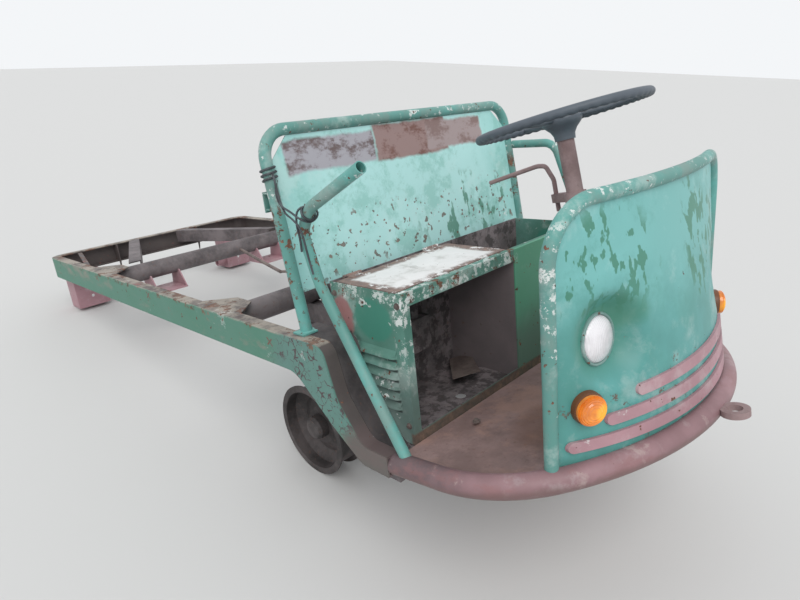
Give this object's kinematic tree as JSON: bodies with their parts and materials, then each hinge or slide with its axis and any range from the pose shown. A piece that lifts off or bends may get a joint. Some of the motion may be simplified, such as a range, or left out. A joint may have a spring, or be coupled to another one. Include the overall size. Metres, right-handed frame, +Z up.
{
  "type": "electric platform truck",
  "caption": "Stripped electric platform truck: open deck frame, swan necks, seat box with lid, curved front shield, steering wheel and bare front rims.",
  "frame": {"origin": "middle of the outline on the ground", "axes": "+X to the front, +Y to the truck's left, +Z up"},
  "size_m": [3.2868, 1.2, 1.3226],
  "materials": {
    "green_paint": "worn",
    "pink_paint": "worn",
    "white_paint": "worn",
    "dark_paint": "worn",
    "rusty_steel": "rusty",
    "black_plastic": "matte",
    "clear_glass": "gloss",
    "amber_plastic": "gloss"
  },
  "bodies": {
    "chassis": {"deck_frame": "green_paint", "cross_tube_rear": "green_paint", "cross_tube_front": "green_paint", "tube_gussets": "green_paint", "deck_diagonal_right": "green_paint", "deck_diagonal_left": "green_paint", "hitch_plates": "green_paint", "corner_strap": "green_paint", "neck_right": "green_paint", "neck_left": "green_paint", "box_back": "green_paint", "box_side_right": "green_paint", "box_side_left": "green_paint", "box_partition": "green_paint", "box_front": "green_paint", "box_outriggers": "green_paint", "lid_hinges": "green_paint", "back_frame": "green_paint", "arm_right": "green_paint", "arm_left": "green_paint", "shield_panel": "green_paint", "shield_rim": "green_paint", "shield_bars": "green_paint", "headlamp_bowls": "green_paint", "lamp_box_right": "pink_paint", "lamp_box_left": "pink_paint", "axle_saddle_right": "pink_paint", "axle_saddle_left": "pink_paint", "back_board": "white_paint", "bumper_ring": "dark_paint", "tow_eye": "dark_paint", "steering_column": "dark_paint", "column_clamp": "dark_paint", "floor_beam": "dark_paint", "floor_plate": "rusty_steel", "box_floor": "rusty_steel", "inner_duct": "rusty_steel", "inner_rails": "rusty_steel", "front_springs": "rusty_steel", "spring_hangers": "rusty_steel", "front_axle": "rusty_steel", "indicator_bases": "black_plastic", "drive_lever": "black_plastic", "headlamp_glasses": "clear_glass", "indicator_lenses": "amber_plastic"},
    "lid": {"seat_lid": "white_paint"},
    "helm": {"steering_wheel": "black_plastic"},
    "knuckle_r": {"knuckle_right": "rusty_steel"},
    "knuckle_l": {"knuckle_left": "rusty_steel"},
    "wheel_r": {"wheel_right": "rusty_steel"},
    "wheel_l": {"wheel_left": "rusty_steel"}
  },
  "joints": [
    {"name": "lid_hinge", "type": "hinge", "parent": "chassis", "child": "lid", "pos_m": [0.65259, 0, 0.79136], "axis": [0, -1, 0], "range_deg": [0, 80]},
    {"name": "helm_turn", "type": "hinge", "parent": "chassis", "child": "helm", "pos_m": [1.04609, 0, 1.23696], "axis": [-0.3411, 0, 0.94], "range_deg": [-420, 420]},
    {"name": "kingpin_right", "type": "hinge", "parent": "chassis", "child": "knuckle_r", "pos_m": [0.46773, -0.29, 0.165], "axis": [-0.1555, 0, 0.9878], "range_deg": [-28, 28]},
    {"name": "kingpin_left", "type": "hinge", "parent": "chassis", "child": "knuckle_l", "pos_m": [0.46773, 0.29, 0.165], "axis": [-0.1555, 0, 0.9878], "range_deg": [-28, 28]},
    {"name": "wheel_right_spin", "type": "hinge", "parent": "knuckle_r", "child": "wheel_r", "pos_m": [0.46773, -0.382, 0.165], "axis": [0, 1, 0], "continuous": true},
    {"name": "wheel_left_spin", "type": "hinge", "parent": "knuckle_l", "child": "wheel_l", "pos_m": [0.46773, 0.382, 0.165], "axis": [0, 1, 0], "continuous": true}
  ],
  "couplings": [
    {"joint": "kingpin_right", "follows": "helm_turn", "ratio": 0.066667},
    {"joint": "kingpin_left", "follows": "helm_turn", "ratio": 0.066667}
  ]
}
